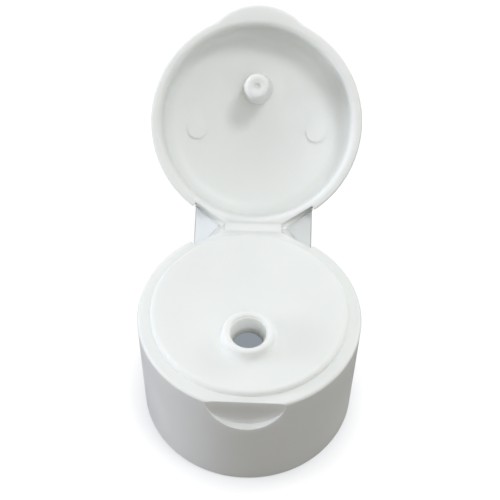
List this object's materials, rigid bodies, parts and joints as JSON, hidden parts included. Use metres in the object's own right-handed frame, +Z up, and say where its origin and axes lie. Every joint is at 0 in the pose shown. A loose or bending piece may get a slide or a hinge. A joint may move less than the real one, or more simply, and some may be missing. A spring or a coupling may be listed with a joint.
{
  "type": "flip top cap",
  "caption": "White flip top closure with a straight skirt, a raised dispensing nozzle, a snap hinge and a round lid with a plug pin, standing open.",
  "frame": {"origin": "centre of the neck bore's mouth, in the plane of the skirt's foot", "axes": "+Z up along the neck's axis, +Y to the hinge at the back, X along the hinge line"},
  "size_m": [0.032, 0.0582, 0.0438],
  "materials": {
    "white_polypropylene": "satin moulded"
  },
  "bodies": {
    "base": {"base": "white_polypropylene"},
    "lid": {"lid": "white_polypropylene", "hinge_film": "white_polypropylene"},
    "wing_left": {"wing_left": "white_polypropylene"},
    "wing_right": {"wing_right": "white_polypropylene"}
  },
  "joints": [
    {"name": "lid_hinge", "type": "hinge", "parent": "base", "child": "lid", "pos_m": [0, 0.016, 0.0196], "axis": [1, 0, 0], "range_deg": [0, 133], "deforming": ["hinge_film"]},
    {"name": "wing_left_film", "type": "hinge", "parent": "base", "child": "wing_left", "pos_m": [-0.00465, 0.016, 0.0196], "axis": [0.6517, 0.4159, 0.6343], "range_deg": [0, 92]},
    {"name": "wing_right_film", "type": "hinge", "parent": "base", "child": "wing_right", "pos_m": [0.00465, 0.016, 0.0196], "axis": [0.6517, -0.4159, -0.6343], "range_deg": [0, 92]}
  ],
  "couplings": [
    {"joint": "wing_left_film", "follows": "lid_hinge", "ratio": 0.67929},
    {"joint": "wing_right_film", "follows": "lid_hinge", "ratio": 0.67929}
  ]
}
